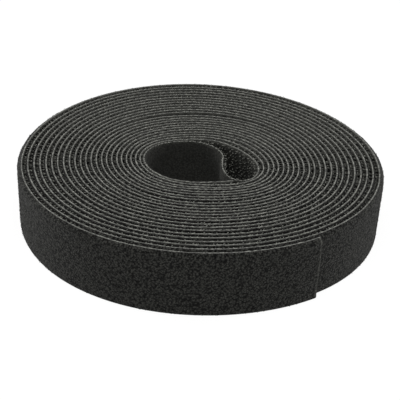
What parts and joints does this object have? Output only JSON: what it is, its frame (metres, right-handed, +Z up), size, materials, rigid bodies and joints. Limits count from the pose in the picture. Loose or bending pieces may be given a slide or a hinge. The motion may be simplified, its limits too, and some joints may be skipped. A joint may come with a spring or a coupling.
{
  "type": "hook and loop tape roll",
  "caption": "Coreless roll of black back-to-back hook and loop tape lying on its side, with a fold across its bore and a loose outer end that peels off.",
  "frame": {"origin": "middle of the roll's footprint, on the surface that it lies on", "axes": "+Z up along the roll's axis and the tape's width, +X along the roll's wider diameter, towards the fold's side of the bore, -Y towards the loose outer end"},
  "size_m": [0.1108, 0.1092, 0.02],
  "materials": {
    "hook_strip": "moulded nylon hooks on a satin web",
    "loop_strip": "knitted ground with napped pile"
  },
  "bodies": {
    "roll": {"winding_hook_strip": "hook_strip", "winding_loop_strip": "loop_strip"},
    "peel1": {"peel1_hook_strip": "hook_strip", "peel1_loop_strip": "loop_strip"},
    "peel2": {"peel2_hook_strip": "hook_strip", "peel2_loop_strip": "loop_strip"},
    "peel3": {"peel3_hook_strip": "hook_strip", "peel3_loop_strip": "loop_strip"},
    "peel4": {"peel4_hook_strip": "hook_strip", "peel4_loop_strip": "loop_strip"},
    "peel5": {"peel5_hook_strip": "hook_strip", "peel5_loop_strip": "loop_strip"},
    "peel6": {"peel6_hook_strip": "hook_strip", "peel6_loop_strip": "loop_strip"}
  },
  "joints": [
    {"name": "peel1_bend", "type": "hinge", "parent": "roll", "child": "peel1", "pos_m": [-0.02694, -0.04829, 0.01], "axis": [0, 0, -1], "range_deg": [0, 25]},
    {"name": "peel2_bend", "type": "hinge", "parent": "peel1", "child": "peel2", "pos_m": [-0.01674, -0.05233, 0.01], "axis": [0, 0, -1], "range_deg": [0, 25]},
    {"name": "peel3_bend", "type": "hinge", "parent": "peel2", "child": "peel3", "pos_m": [-0.00608, -0.05433, 0.01], "axis": [0, 0, -1], "range_deg": [0, 25]},
    {"name": "peel4_bend", "type": "hinge", "parent": "peel3", "child": "peel4", "pos_m": [0.00469, -0.05439, 0.01], "axis": [0, 0, -1], "range_deg": [0, 25]},
    {"name": "peel5_bend", "type": "hinge", "parent": "peel4", "child": "peel5", "pos_m": [0.01532, -0.0526, 0.01], "axis": [0, 0, -1], "range_deg": [0, 25]},
    {"name": "peel6_bend", "type": "hinge", "parent": "peel5", "child": "peel6", "pos_m": [0.02561, -0.04898, 0.01], "axis": [0, 0, -1], "range_deg": [0, 25]}
  ],
  "couplings": [
    {"joint": "peel2_bend", "follows": "peel1_bend", "ratio": 1},
    {"joint": "peel3_bend", "follows": "peel1_bend", "ratio": 1},
    {"joint": "peel4_bend", "follows": "peel1_bend", "ratio": 1},
    {"joint": "peel5_bend", "follows": "peel1_bend", "ratio": 1},
    {"joint": "peel6_bend", "follows": "peel1_bend", "ratio": 1}
  ]
}
